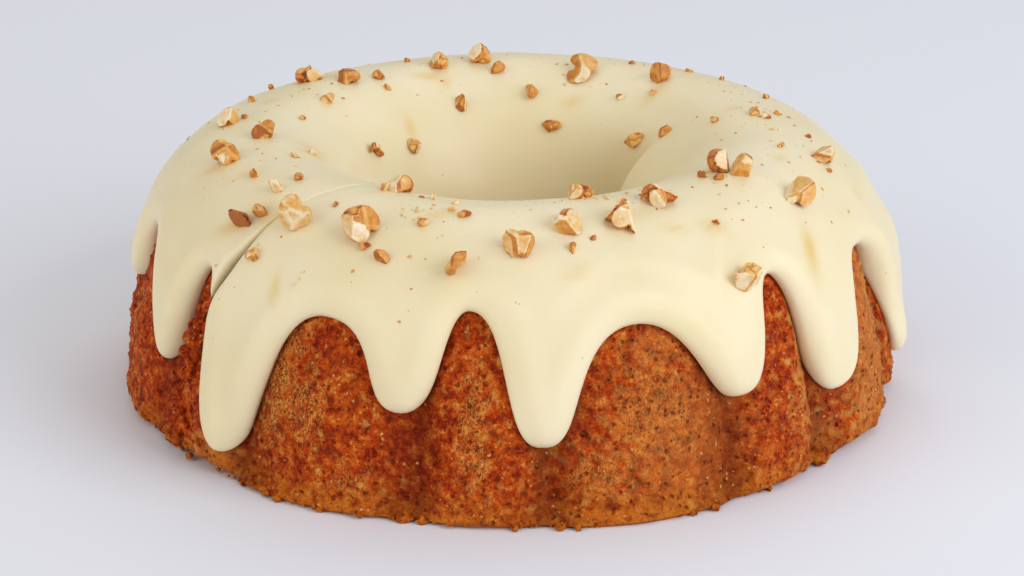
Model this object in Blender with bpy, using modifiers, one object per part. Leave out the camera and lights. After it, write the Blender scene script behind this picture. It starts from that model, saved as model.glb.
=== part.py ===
"""A ring cake baked in a fluted tin, with poured icing that hangs in drips and chopped walnuts on top.

Metres, +Z up. The origin is the middle of the base, on the surface that the cake stands on.
A bearing is an angle in degrees seen from above: 0 at the front (-Y), 90 at the right (+X).
A profile is a list of (radius, height) points in millimetres, which a Screw modifier turns into a ring.
"""

import math
import random

import bmesh
import bpy
from mathutils import Matrix, Vector
from mathutils.bvhtree import BVHTree

MM = 0.001

# The tin's pattern: eight wide lobes with a narrow lobe between each two, parted by sharp valleys.
PATTERN_REPEATS = 8
WIDE_LOBE_DEG = 28.1
NARROW_LOBE_DEG = 360 / PATTERN_REPEATS - WIDE_LOBE_DEG
FIRST_WIDE_LOBE = 18.3
WIDE_COLUMNS = 8
NARROW_COLUMNS = 6
COLUMNS = PATTERN_REPEATS * (WIDE_COLUMNS + NARROW_COLUMNS)
VALLEY_DEPTH = 6.5
VALLEY_FULL_BELOW = 38.0
VALLEY_GONE_ABOVE = 80.0
HOLE_VALLEY_SHARE = 0.25

# The cake's section at the middle of a lobe, from the base's outer edge over the crown and down the hole.
CAKE_SECTION = (
    (121.5, 0.0),
    (127.4, 2.4),
    (127.9, 9.0),
    (126.3, 21.0),
    (123.5, 33.0),
    (119.9, 45.0),
    (115.4, 55.5),
    (108.5, 66.5),
    (98.0, 75.0),
    (83.0, 79.2),
    (68.0, 76.5),
    (54.5, 67.0),
    (45.5, 51.0),
    (39.0, 31.0),
    (33.0, 8.0),
    (34.0, 0.0),
)
CROWN = 9

# The icing follows the cake's section from FIRST_ICED to LAST_ICED, with these points on its outside.
FIRST_ICED = 2
LAST_ICED = 13
ICING_SECTION = (
    (124.8, 9.0),
    (124.8, 21.0),
    (124.3, 33.0),
    (122.8, 45.0),
    (119.8, 57.0),
    (112.8, 69.5),
    (100.5, 79.4),
    (83.0, 83.7),
    (66.5, 80.8),
    (51.3, 70.2),
    (41.8, 52.5),
    (36.2, 32.0),
)
CRUMB_GAP = 0.6
LEAST_ICING = 3.7
ICING_DIP = 1.4
RIM_LIFT = 1.3
RIM_THICKNESS = 1.8

# Each drip: bearing of its tip, height of its tip, height of the arch between it and the next drip.
DRIPS = (
    (-44.6, 8.0, 58.5),
    (-14.9, 33.5, 63.5),
    (4.3, 24.5, 58.5),
    (33.0, 32.5, 63.5),
    (53.3, 23.0, 60.5),
    (77.5, 15.0, 64.0),
    (95.5, 36.0, 57.5),
    (121.0, 19.0, 62.0),
    (140.5, 29.0, 59.5),
    (166.0, 38.0, 63.0),
    (185.0, 14.0, 58.0),
    (212.5, 31.0, 64.5),
    (230.0, 25.0, 59.0),
    (254.5, 12.0, 62.5),
    (270.8, 34.0, 60.5),
    (299.3, 27.0, 62.0),
)
DRIP_HALF_DEG = 4.1
DRIP_ROUNDING = 9.0
HOLE_EDGE = 33.0
HOLE_EDGE_WAVE = 5.0

# The knife cut runs from the hole to the outside and stops above the base. It leans over to the front.
CUT_BEARING = -54.5
CUT_LEAN_DEG = 23.4
CUT_CROSSES_AXIS_AT = 30.0
CUT_WIDTH = 1.8
CUT_STOPS_AT = 13.0
CUT_REACH = 170.0
CUT_TOP = 130.0

# Walnut pieces as large as berries: bearing, radius, then length, breadth and height in millimetres.
WALNUTS = (
    (-26, 102, 11.5, 9.5, 8.0),
    (-39, 101, 11.0, 9.0, 6.5),
    (-49, 106, 8.0, 6.5, 5.5),
    (-29, 71, 11.0, 7.5, 4.5),
    (1, 103, 10.5, 8.5, 5.5),
    (-8, 109, 10.0, 7.0, 5.0),
    (10, 95, 10.5, 9.0, 5.0),
    (17, 73, 8.5, 7.0, 4.0),
    (20, 94, 12.5, 10.0, 6.5),
    (31, 87, 12.0, 8.0, 5.0),
    (55, 79, 9.0, 8.0, 7.5),
    (57, 87, 7.0, 6.0, 6.0),
    (58, 104, 10.0, 8.5, 6.0),
    (78, 100, 8.5, 7.5, 5.0),
    (37, 117, 9.0, 8.0, 6.0),
    (137, 76, 8.5, 8.0, 6.5),
    (159, 72, 15.5, 11.0, 7.0),
    (188, 79, 8.5, 7.5, 6.0),
    (199, 77, 8.5, 7.5, 5.0),
    (226, 77, 9.5, 7.5, 4.5),
    (231, 88, 10.0, 8.0, 5.0),
    (265, 93, 8.0, 7.5, 5.0),
    (278, 81, 8.0, 7.5, 5.0),
    (288, 94, 10.0, 9.0, 6.5),
)
WALNUT_CHOPS = 5
NUT_GAP = 0.35
SEED = 11


def clear_scene():
    for thing in list(bpy.data.objects):
        bpy.data.objects.remove(thing, do_unlink=True)


def new_collection(name):
    collection = bpy.data.collections.new(name)
    bpy.context.scene.collection.children.link(collection)
    return collection


def food_material(name, colour, roughness):
    material = bpy.data.materials.new(name)
    material.use_nodes = True
    shader = material.node_tree.nodes["Principled BSDF"]
    shader.inputs["Base Color"].default_value = (*colour, 1.0)
    shader.inputs["Roughness"].default_value = roughness
    shader.inputs["Metallic"].default_value = 0.0
    material.diffuse_color = (*colour, 1.0)
    return material


def from_bearing(bearing, radius, height):
    """The point at a bearing in degrees, a radius and a height in millimetres."""
    angle = math.radians(bearing)
    return Vector((radius * math.sin(angle), -radius * math.cos(angle), height)) * MM


def smooth_step(low, high, value):
    t = min(1.0, max(0.0, (value - low) / (high - low)))
    return t * t * (3 - 2 * t)


def crowded_to_ends(t):
    """Moves evenly spaced values of 0 to 1 closer to both ends, where a lobe bends into its valley."""
    return 0.5 * t + 0.25 * (1 - math.cos(math.pi * t))


def column_bearing(column):
    """Bearing of one of the ring's columns, so that every valley has a column of its own."""
    repeat, step = divmod(column, WIDE_COLUMNS + NARROW_COLUMNS)
    start = FIRST_WIDE_LOBE - WIDE_LOBE_DEG / 2 + repeat * (WIDE_LOBE_DEG + NARROW_LOBE_DEG)
    if step < WIDE_COLUMNS:
        return start + WIDE_LOBE_DEG * crowded_to_ends(step / WIDE_COLUMNS)
    share = (step - WIDE_COLUMNS) / NARROW_COLUMNS
    return start + WIDE_LOBE_DEG + NARROW_LOBE_DEG * crowded_to_ends(share)


def valley(bearing):
    """1 in a valley of the tin's pattern and 0 at the middle of a lobe, with a sharp line in the valley."""
    offset = (bearing - FIRST_WIDE_LOBE + WIDE_LOBE_DEG / 2) % (WIDE_LOBE_DEG + NARROW_LOBE_DEG)
    if offset < WIDE_LOBE_DEG:
        across = offset / WIDE_LOBE_DEG
    else:
        across = (offset - WIDE_LOBE_DEG) / NARROW_LOBE_DEG
    return 1 - math.sin(math.pi * across)


def valley_depth(height, in_hole):
    depth = VALLEY_DEPTH * (1 - smooth_step(VALLEY_FULL_BELOW, VALLEY_GONE_ABOVE, height))
    return depth * HOLE_VALLEY_SHARE if in_hole else depth


def cake_point(row, bearing):
    """Radius and height of the crust at one point of the section."""
    radius, height = CAKE_SECTION[row]
    in_hole = row > CROWN
    depth = valley_depth(height, in_hole) * valley(bearing)
    return (radius + depth if in_hole else radius - depth), height


def section_normal(row):
    """The section's outward direction at one of its points, as (radius, height)."""
    before = Vector(CAKE_SECTION[row - 1])
    after = Vector(CAKE_SECTION[row + 1])
    along = (after - before).normalized()
    return Vector((along.y, -along.x))


def icing_points(row, bearing):
    """The icing's inner and outer (radius, height) at one point of the section."""
    crust = Vector(cake_point(row, bearing))
    normal = section_normal(row)
    inner = crust + normal * CRUMB_GAP
    outer = Vector(ICING_SECTION[row - FIRST_ICED])
    outer.x -= ICING_DIP * valley(bearing) * valley_depth(outer.y, False) / VALLEY_DEPTH
    lacking = LEAST_ICING - (outer - inner).dot(normal)
    if lacking > 0:
        outer += normal * lacking
    return inner, outer


def drips_beside(bearing):
    """The drip before and after a bearing, as (bearing, tip, arch) with bearings that rise."""
    bearing = (bearing - DRIPS[0][0]) % 360 + DRIPS[0][0]
    around = list(DRIPS) + [(DRIPS[0][0] + 360, *DRIPS[0][1:])]
    for before, after in zip(around, around[1:]):
        if bearing <= after[0]:
            return bearing, before, after
    return bearing, before, after


def drip_edge(bearing):
    """Height of the icing's lower edge: round tips joined by arches that are quarter ellipses on each side."""
    bearing, before, after = drips_beside(bearing)
    for place, tip, _ in (before, after):
        across = abs(bearing - place) / DRIP_HALF_DEG
        if across < 1:
            return tip + DRIP_ROUNDING * (1 - math.sqrt(1 - across * across))
    start = before[0] + DRIP_HALF_DEG
    span = after[0] - DRIP_HALF_DEG - start
    along = (bearing - start) / span
    foot = (1 - along) * before[1] + along * after[1] + DRIP_ROUNDING
    across = 2 * along - 1
    return foot + (before[2] - foot) * math.sqrt(max(0.0, 1 - across * across))


def hole_edge(bearing):
    """Height of the icing's lower edge inside the hole."""
    return HOLE_EDGE + HOLE_EDGE_WAVE * math.sin(math.radians(5 * bearing + 40))


def at_height(low, high, height):
    """The point of a straight line between two section points at a height."""
    share = (height - low.y) / (high.y - low.y)
    return low.lerp(high, share)


def iced_rows(bearing):
    """Inner and outer points of the icing for each row, with the rows past an edge gathered on the edge."""
    rows = range(FIRST_ICED, LAST_ICED + 1)
    inner, outer = zip(*(icing_points(row, bearing) for row in rows))
    inner, outer = list(inner), list(outer)
    for edge, steps in (
        (drip_edge(bearing), range(0, CROWN - FIRST_ICED)),
        (hole_edge(bearing), range(len(inner) - 1, CROWN - FIRST_ICED, -1)),
    ):
        toward = 1 if steps.step > 0 else -1
        past = [k for k in steps if inner[k].y < edge]
        if not past:
            continue
        last = past[-1]
        rim_in = at_height(inner[last], inner[last + toward], edge)
        rim_in.x += RIM_LIFT * toward
        rim_out = Vector((rim_in.x + RIM_THICKNESS * toward, edge))
        for k in past:
            inner[k] = rim_in
            outer[k] = rim_out
    return inner, outer


def ring_from_profile(name, points, collection):
    """Turns a closed profile of (radius, height) points round the axis, one column at a time."""
    mesh = bpy.data.meshes.new(name)
    places = [Vector((radius, 0, height)) * MM for radius, height in points]
    edges = [(k, (k + 1) % len(points)) for k in range(len(points))]
    mesh.from_pydata(places, edges, [])
    ring = bpy.data.objects.new(name, mesh)
    collection.objects.link(ring)
    screw = ring.modifiers.new("turn", "SCREW")
    screw.steps = COLUMNS
    screw.render_steps = COLUMNS
    screw.use_merge_vertices = True
    screw.merge_threshold = 0.00001
    graph = bpy.context.evaluated_depsgraph_get()
    turned = bpy.data.meshes.new_from_object(ring.evaluated_get(graph))
    ring.modifiers.clear()
    ring.data = turned
    bpy.data.meshes.remove(mesh)
    return ring


def reshape_ring(ring, column_points):
    """Moves each column of a turned ring to its own bearing and its own (radius, height) points."""
    mesh = ring.data
    rows = len(mesh.vertices) // COLUMNS
    for column in range(COLUMNS):
        bearing = column_bearing(column)
        for row, (radius, height) in enumerate(column_points(bearing)):
            mesh.vertices[column * rows + row].co = from_bearing(bearing, radius, height)


def close_and_face_out(ring):
    """Merges the gathered rows, splits every face into triangles and turns all faces outwards."""
    shape = bmesh.new()
    shape.from_mesh(ring.data)
    bmesh.ops.remove_doubles(shape, verts=shape.verts, dist=0.00001)
    bmesh.ops.dissolve_degenerate(shape, edges=shape.edges, dist=0.00001)
    bmesh.ops.triangulate(shape, faces=shape.faces)
    bmesh.ops.recalc_face_normals(shape, faces=shape.faces)
    shape.to_mesh(ring.data)
    shape.free()


def finish_ring(ring, material, cutter):
    close_and_face_out(ring)
    ring.data.materials.clear()
    ring.data.materials.append(material)
    ring.data.shade_smooth()
    ring.data.set_sharp_from_angle(angle=math.radians(40))
    cut = ring.modifiers.new("knife cut", "BOOLEAN")
    cut.operation = "DIFFERENCE"
    cut.solver = "EXACT"
    cut.object = cutter


def build_cut(collection):
    """The thin space that the knife left, as a slab that reaches from the axis to past the crust."""
    bpy.ops.mesh.primitive_cube_add(size=1)
    slab = bpy.context.object
    slab.name = "knife_cut"
    low = CUT_STOPS_AT - CUT_CROSSES_AXIS_AT
    size = Vector((CUT_REACH, CUT_WIDTH, CUT_TOP - low)) * MM
    middle = Vector((CUT_REACH / 2, 0, (CUT_TOP + low) / 2)) * MM
    slab.data.transform(Matrix.Translation(middle) @ Matrix.Diagonal((*size, 1)))
    slab.location = (0, 0, CUT_CROSSES_AXIS_AT * MM)
    slab.rotation_euler = (math.radians(-CUT_LEAN_DEG), 0, math.radians(CUT_BEARING - 90))
    slab.hide_render = True
    slab.display_type = "WIRE"
    for owner in list(slab.users_collection):
        owner.objects.unlink(slab)
    collection.objects.link(slab)
    return slab


def build_cake(collection, cutter):
    cake = ring_from_profile("cake", CAKE_SECTION, collection)
    reshape_ring(cake, lambda bearing: [cake_point(row, bearing) for row in range(len(CAKE_SECTION))])
    finish_ring(cake, food_material("golden_brown_crust", (0.33, 0.10, 0.025), 0.75), cutter)
    return cake


def build_icing(collection, cutter):
    inner, outer = iced_rows(FIRST_WIDE_LOBE)
    icing = ring_from_profile("icing", list(outer) + list(reversed(inner)), collection)

    def column_points(bearing):
        inside, outside = iced_rows(bearing)
        return list(outside) + list(reversed(inside))

    reshape_ring(icing, column_points)
    finish_ring(icing, food_material("cream_cheese_icing", (0.87, 0.78, 0.55), 0.4), cutter)
    return icing


def surface_tree(thing):
    graph = bpy.context.evaluated_depsgraph_get()
    return BVHTree.FromObject(thing, graph)


def chopped_walnut(length, breadth, height, chance):
    """A broken piece of kernel: a rounded lump with flat chopped faces and a flat underside."""
    shape = bmesh.new()
    bmesh.ops.create_icosphere(shape, subdivisions=1, radius=0.5)
    for point in shape.verts:
        point.co *= chance.uniform(0.94, 1.12)
    cuts = [(Vector((0, 0, -1)), 0.34)]
    for _ in range(WALNUT_CHOPS):
        toward = Vector((chance.uniform(-1, 1), chance.uniform(-1, 1), chance.uniform(-0.2, 1)))
        cuts.append((toward.normalized(), chance.uniform(0.33, 0.46)))
    for normal, distance in cuts:
        everything = shape.verts[:] + shape.edges[:] + shape.faces[:]
        split = bmesh.ops.bisect_plane(
            shape, geom=everything, plane_co=normal * distance, plane_no=normal, clear_outer=True
        )
        rim = [part for part in split["geom_cut"] if isinstance(part, bmesh.types.BMEdge)]
        if rim:
            bmesh.ops.holes_fill(shape, edges=rim, sides=0)
    bmesh.ops.remove_doubles(shape, verts=shape.verts, dist=0.02)
    bmesh.ops.dissolve_degenerate(shape, edges=shape.edges, dist=0.02)
    bmesh.ops.scale(shape, vec=Vector((length, breadth, height)) * MM * 1.08, verts=shape.verts)
    bmesh.ops.triangulate(shape, faces=shape.faces)
    bmesh.ops.recalc_face_normals(shape, faces=shape.faces)
    return shape


def build_walnut(name, row, surface, material, chance, collection):
    """Lays one walnut piece on the icing, turned at random and square to the icing below it."""
    bearing, radius, length, breadth, height = row
    above = from_bearing(bearing, radius, 120)
    place, normal, _, _ = surface.ray_cast(above, Vector((0, 0, -1)))
    normal = (normal + Vector((0, 0, 0.4))).normalized()
    shape = chopped_walnut(length, breadth, height, chance)
    turn = Matrix.Rotation(chance.uniform(0, 2 * math.pi), 4, "Z")
    lie = normal.to_track_quat("Z", "Y").to_matrix().to_4x4()
    bmesh.ops.transform(shape, matrix=Matrix.Translation(place) @ lie @ turn, verts=shape.verts)
    lift = NUT_GAP * MM - least_clearance(surface, shape)
    bmesh.ops.translate(shape, vec=normal * lift, verts=shape.verts)
    again = NUT_GAP * MM - least_clearance(surface, shape)
    bmesh.ops.translate(shape, vec=normal * max(0.0, again), verts=shape.verts)
    mesh = bpy.data.meshes.new(name)
    shape.to_mesh(mesh)
    shape.free()
    mesh.materials.append(material)
    piece = bpy.data.objects.new(name, mesh)
    collection.objects.link(piece)
    return piece


def least_clearance(surface, shape):
    """How far the lowest point of a piece is above the icing; less than 0 where it is below it."""
    gaps = []
    for point in shape.verts:
        nearest, normal, _, distance = surface.find_nearest(point.co)
        above = (point.co - nearest).dot(normal) > 0
        gaps.append(distance if above else -distance)
    return min(gaps)


def main():
    clear_scene()
    parts = new_collection("ring_cake")
    cutters = new_collection("cutters")
    cutter = build_cut(cutters)
    build_cake(parts, cutter)
    icing = build_icing(parts, cutter)
    bpy.context.view_layer.update()
    surface = surface_tree(icing)
    walnut = food_material("walnut_kernel", (0.52, 0.27, 0.10), 0.6)
    chance = random.Random(SEED)
    for number, row in enumerate(WALNUTS, start=1):
        build_walnut(f"walnut_{number:02d}", row, surface, walnut, chance, parts)


main()
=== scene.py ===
"""Looks of a ring cake: a browned, fluted crust, poured cream cheese icing in drips, and chopped walnuts.

Lengths are in millimetres until the last step, where MM turns them to metres. +Z is up.
A bearing is an angle in degrees seen from above: 0 at the front (-Y), 90 at the right (+X).
A section is the cake's outline from the base's outer edge over the crown and down the hole. A place on it is
t, a whole number at each of the section's points, or v, its length from the first point.
"""

import math

import bpy
import numpy as np
from mathutils import Matrix, Vector, noise
from mathutils.bvhtree import BVHTree
from mathutils.geometry import delaunay_2d_cdt
from mathutils.kdtree import KDTree


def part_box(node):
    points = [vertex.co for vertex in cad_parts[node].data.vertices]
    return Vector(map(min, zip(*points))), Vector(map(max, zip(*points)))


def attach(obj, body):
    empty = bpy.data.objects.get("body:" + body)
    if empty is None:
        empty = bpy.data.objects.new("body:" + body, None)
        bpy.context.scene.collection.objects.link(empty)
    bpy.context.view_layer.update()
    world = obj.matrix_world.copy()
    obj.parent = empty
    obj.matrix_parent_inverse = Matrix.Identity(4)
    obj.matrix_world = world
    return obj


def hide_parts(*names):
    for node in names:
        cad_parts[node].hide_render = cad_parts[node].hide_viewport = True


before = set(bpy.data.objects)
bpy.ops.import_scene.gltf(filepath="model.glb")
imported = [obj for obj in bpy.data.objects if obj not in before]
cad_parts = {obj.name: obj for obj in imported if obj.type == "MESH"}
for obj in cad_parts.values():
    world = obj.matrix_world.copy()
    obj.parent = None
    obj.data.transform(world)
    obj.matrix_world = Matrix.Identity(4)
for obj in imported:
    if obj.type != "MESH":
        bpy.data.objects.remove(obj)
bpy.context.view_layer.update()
MM = 0.001

CAMERA_DISTANCE = 0.9606
CAMERA_ELEVATION = 20.5
CAMERA_LENS_MM = 102.0
AIM = Vector((0.0003, 0, 0.0279))

# The tin's pattern: eight wide lobes with a narrow lobe between each two, parted by sharp valleys.
PATTERN_DEG = 45.0
WIDE_LOBE_DEG = 28.1
FIRST_WIDE_LOBE = 18.3
VALLEY_DEPTH = 6.5
VALLEY_FULL_BELOW = 38.0
VALLEY_GONE_ABOVE = 80.0
HOLE_VALLEY_SHARE = 0.25
VALLEY_ROUNDING = 0.004
NARROW_LOBE_SHOULDER = 0.42
VALLEY_LEFT_AT_FOOT = 0.4
# Where the batter crept out under the tin's rim: bearing and how far out the foot comes.
FOOT = ((-180, 4), (-120, 2), (-75, 0), (-46, 0), (-39, 6.5), (-30, 5), (-2, 4.5), (8, 8), (30, 7.5), (37, 3),
        (43, 0.5), (95, 0), (130, 4), (180, 4))
FOOT_HEIGHT = 5.5
# Where the knife lifted the base beside the cut: bearing, spread in degrees and height.
LIFTED = (-50.0, 7.0, 2.2)
# Where the wall shrank from the tin: bearing, spread in degrees and depth.
SHRUNK = ((90.0, 10.0, 2.6), (205.0, 16.0, 1.5), (-150.0, 12.0, 1.2))

# Sections, as (radius, height). The icing's starts over the cake's point FIRST_ICED, point over point.
CAKE_SECTION = ((121.5, 0), (127, 2.4), (127.9, 9), (126.3, 21), (123.5, 33), (119.9, 45), (115.4, 55.5),
                (108.5, 66.5), (98, 75), (83, 79.2), (68, 76.5), (54.5, 67), (45.5, 51), (39, 31), (33, 8),
                (34, 0))
CROWN = 9
FIRST_ICED = 2
ICING_SECTION = ((126.4, 9), (126.2, 21), (125.5, 33), (123.6, 45), (120, 57), (112.8, 69.5), (100.5, 79.4),
                 (83, 83.7), (66.5, 80.8), (51.3, 70.2), (41.8, 52.5), (36.2, 32))
LEAST_ICING = 3.4

# The icing's lower edge, drip by drip. A drip: bearing and height of its tip, and how far the tip's curve
# reaches to its left and right, in degrees. An arch, between this drip and the next: the same for its top.
DRIPS = (
    ((-44, 9, 6, 6.5), (-27.8, 56.8, 10.8, 10.2)),
    ((-15.2, 32.5, 6.9, 5.7), (-6.1, 62, 4.2, 6.8)),
    ((4.5, 23.5, 6.2, 6.3), (18.4, 57.2, 10.9, 8.6)),
    ((33, 31.3, 3.6, 7.4), (42.9, 62.6, 5.2, 4.8)),
    ((53.4, 22.6, 6.6, 10), (66.5, 57.6, 8.6, 17)),
    ((87, 9, 10, 5), (95.5, 58, 2.5, 3)),
    ((101.8, 35, 3.3, 3.4), (109.5, 58, 4.3, 7)),
    ((121, 19, 6, 5.5), (130.6, 62, 5, 6)),
    ((140.5, 29, 6.5, 7), (153, 58, 9, 8)),
    ((166, 38, 5, 6.5), (175, 62, 4.5, 5.5)),
    ((185, 14, 6, 6.5), (199, 57, 10, 9)),
    ((212.5, 31, 6.5, 6), (221, 63, 4.5, 5)),
    ((230, 25, 6, 6.5), (242.5, 58, 10, 9)),
    ((254.5, 12, 5, 5.5), (262.5, 62, 4.5, 5)),
    ((270.8, 34, 6.5, 7), (285, 59, 10, 9)),
    ((299.3, 27, 5, 4.5), (307.5, 60, 3.5, 4.5)),
)
HOLE_EDGE = 33.0
HOLE_EDGE_WAVE = 5.0

# The knife cut: a plane that leans over to the front and crosses the middle line at CUT_CROSSES_AXIS_AT.
CUT_BEARING = -54.5
CUT_LEAN_DEG = 23.4
CUT_CROSSES_AXIS_AT = 30.0
CUT_WIDTH = 1.8
CUT_STOPS_AT = 13.0
CUT_LEAN_COS = 0.918
# Beside the cut: how much of a step round the ring is square to it, and the wall's mean radius there.
CUT_SQUARE_SHARE = 0.91
CUT_RING_RADIUS = 113
CUT_TURN = (Matrix.Rotation(math.radians(CUT_BEARING - 90), 3, "Z")
            @ Matrix.Rotation(math.radians(-CUT_LEAN_DEG), 3, "X"))
CUT_NORMAL = CUT_TURN @ Vector((0, 1, 0))
CUT_OFFSET = CUT_NORMAL.z * CUT_CROSSES_AXIS_AT


# ---------------------------------------------------------------- forms

def smooth_step(low, high, value):
    t = np.clip((value - low) / (high - low), 0, 1)
    return t * t * (3 - 2 * t)


def hump(value, middle, spread):
    """1 at the middle, fading out on both sides of it."""
    return np.exp(-(((value - middle) / spread) ** 2))


def within_half_turn(bearing):
    return np.mod(bearing + 180, 360) - 180


def on_curve(points, t):
    """The point at t of the smooth curve through a section's points, as an array of (radius, height)."""
    given = np.array(points, float)
    ends = np.vstack([2 * given[0] - given[1], given, 2 * given[-1] - given[-2]])
    t = np.asarray(t, float)
    k = np.clip(np.floor(t).astype(int), 0, len(given) - 2)
    f = (t - k)[..., None]
    a, b, c, d = ends[k], ends[k + 1], ends[k + 2], ends[k + 3]
    return 0.5 * (2 * b + (c - a) * f + (2 * a - 5 * b + 4 * c - d) * f**2 + (3 * b - a - 3 * c + d) * f**3)


FINE_T = np.linspace(0, len(CAKE_SECTION) - 1, 3001)
FINE_SECTION = on_curve(CAKE_SECTION, FINE_T)
FINE_V = np.concatenate([[0], np.cumsum(np.hypot(*np.diff(FINE_SECTION, axis=0).T))])
FINE_ALONG = np.gradient(FINE_SECTION, FINE_V, axis=0)


def v_of_t(t):
    return np.interp(t, FINE_T, FINE_V)


def t_of_v(v):
    return np.interp(v, FINE_V, FINE_T)


def t_at_height(height, in_hole=False):
    """Where the section passes a height, on its outer side or in the hole."""
    side = FINE_T >= CROWN if in_hole else FINE_T <= CROWN
    order = slice(None, None, -1 if in_hole else 1)
    return np.interp(height, FINE_SECTION[side, 1][order], FINE_T[side][order])


def section_normal(t):
    """The section's outward direction at t, as (radius, height)."""
    across, up = np.interp(t, FINE_T, FINE_ALONG[:, 1]), np.interp(t, FINE_T, -FINE_ALONG[:, 0])
    return np.stack([across, up], axis=-1)


def valley(bearing):
    """1 in a valley of the tin's pattern and 0 at the middle of a lobe."""
    offset = np.mod(bearing - FIRST_WIDE_LOBE + WIDE_LOBE_DEG / 2, PATTERN_DEG)
    narrow = PATTERN_DEG - WIDE_LOBE_DEG
    across = np.where(offset < WIDE_LOBE_DEG, offset / WIDE_LOBE_DEG, (offset - WIDE_LOBE_DEG) / narrow)
    rounded = np.sqrt(np.sin(np.pi * across) ** 2 + VALLEY_ROUNDING)
    ramp = (1 - np.abs(2 * across - 1)) / NARROW_LOBE_SHOULDER
    shouldered = 1 - np.log1p(np.exp(9 * (1 - ramp))) / 9
    return 1 - np.where(offset < WIDE_LOBE_DEG, rounded, np.maximum(0.55 * shouldered + 0.45 * rounded, 0.06))


def crust_points(bearing, t):
    """(radius, height) of the crust."""
    point = on_curve(CAKE_SECTION, t)
    depth = VALLEY_DEPTH * (1 - smooth_step(VALLEY_FULL_BELOW, VALLEY_GONE_ABOVE, point[..., 1]))
    depth = depth * (1 - (1 - VALLEY_LEFT_AT_FOOT) * (1 - smooth_step(0, 7, point[..., 1])))
    point[..., 0] += np.where(t > CROWN, HOLE_VALLEY_SHARE, -1.0) * depth * valley(bearing)
    outside = (t < CROWN) * 1.0
    around = within_half_turn(bearing)
    spread = np.interp(around, *zip(*FOOT)) * np.clip(1 - point[..., 1] / FOOT_HEIGHT, 0, 1) ** 1.6
    for place, wide, deep in SHRUNK:
        here = hump(within_half_turn(bearing - place), 0, wide)
        spread = spread - deep * here * (1 - smooth_step(30, 62, point[..., 1]))
    point[..., 0] += outside * spread
    place, wide, high = LIFTED
    point[..., 1] += outside * high * hump(around, place, wide) * (1 - smooth_step(2, 16, point[..., 1]))
    return point


def crust_point_at(bearing, height):
    """(radius, height) of the crust's outer side at one height."""
    return crust_points(np.array([bearing]), np.array([t_at_height(height)]))[0]


def in_space(bearing, point):
    """x, y and z of points given by a bearing and (radius, height)."""
    angle, point = np.radians(bearing), np.asarray(point, float)
    return np.stack([point[..., 0] * np.sin(angle), -point[..., 0] * np.cos(angle), point[..., 1]], axis=-1)


def drip_edge(bearing):
    """Height of the icing's lower edge: a smooth curve from each tip up to the arch beside it and down."""
    knots = [knot for drip in DRIPS for knot in drip]
    start = knots[0][0]
    knots.append((start + 360, *knots[0][1:]))
    s = np.linspace(0, 1, 200)
    around, heights = [], []
    for (x0, z0, _, reach0), (x1, z1, reach1, _) in zip(knots, knots[1:]):
        x = x0 * (1 - s) ** 3 + 3 * (x0 + reach0) * (1 - s) ** 2 * s
        x = x + 3 * (x1 - reach1) * (1 - s) * s**2 + x1 * s**3
        around.append(np.maximum.accumulate(x))
        heights.append(z0 + (z1 - z0) * (3 * s**2 - 2 * s**3))
    return np.interp(np.mod(bearing - start, 360) + start, np.concatenate(around), np.concatenate(heights))


def hole_edge(bearing):
    """Height of the icing's lower edge inside the hole."""
    return HOLE_EDGE + HOLE_EDGE_WAVE * np.sin(np.radians(5 * bearing + 40))


def cut_bearing(point):
    """Bearing at which a ring of (radius, height) meets the knife cut."""
    flat_share = math.hypot(CUT_NORMAL.x, CUT_NORMAL.y)
    square = math.degrees(math.atan2(-CUT_NORMAL.x, CUT_NORMAL.y))
    share = (CUT_NORMAL.z * point[..., 1] - CUT_OFFSET) / (flat_share * point[..., 0])
    return square + np.degrees(np.arccos(np.clip(share, -1, 1)))


def grain(rows, columns, spacing, size, seed):
    """Even bumps of about one size on a grid, mean 0 and spread 1. The last column joins the first."""
    chance = np.random.default_rng(seed)
    spectrum = np.fft.rfft2(chance.standard_normal((rows, columns)))
    up = np.fft.fftfreq(rows, spacing)[:, None]
    round_ring = np.fft.rfftfreq(columns, spacing)[None, :]
    pitch = np.maximum(np.hypot(up, round_ring), 1e-6) * size
    field = np.fft.irfft2(spectrum * np.exp(-((np.log(pitch) / 0.45) ** 2)), (rows, columns))
    return field / field.std()


def waves(places, size, offset=Vector()):
    """Smooth noise at places, between -1 and 1, with waves about one size long."""
    return np.array([noise.noise(Vector(place) / size + offset) for place in places])


# ---------------------------------------------------------------- helpers for pieces

def deselect_all():
    for thing in bpy.context.selected_objects:
        thing.select_set(False)


def add_ball(subdivisions, radius):
    """A ball, and its points in the same unit as the radius."""
    deselect_all()
    bpy.ops.mesh.primitive_ico_sphere_add(subdivisions=subdivisions, radius=radius)
    return bpy.context.object, places_of(bpy.context.object.data) * MM


def apply_modifier(piece, kind, **settings):
    deselect_all()
    piece.select_set(True)
    bpy.context.view_layer.objects.active = piece
    modifier = piece.modifiers.new(kind.lower(), kind)
    for name, value in settings.items():
        setattr(modifier, name, value)
    bpy.ops.object.modifier_apply(modifier=modifier.name)


def set_places(mesh, places):
    """Puts a mesh's points at places given in millimetres."""
    mesh.vertices.foreach_set("co", (np.asarray(places) * MM).astype(np.float32).ravel())
    mesh.update()


def of_points(mesh, field):
    found = np.empty(len(mesh.vertices) * 3, np.float32)
    mesh.vertices.foreach_get(field, found)
    return found.reshape(-1, 3).astype(float)


def places_of(mesh):
    return of_points(mesh, "co") / MM


def set_shade(mesh, name, values):
    """Stores one number for each point of a mesh, which its material reads."""
    layer = mesh.attributes.get(name) or mesh.attributes.new(name, "FLOAT", "POINT")
    layer.data.foreach_set("value", np.asarray(values, np.float32).ravel())


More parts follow.
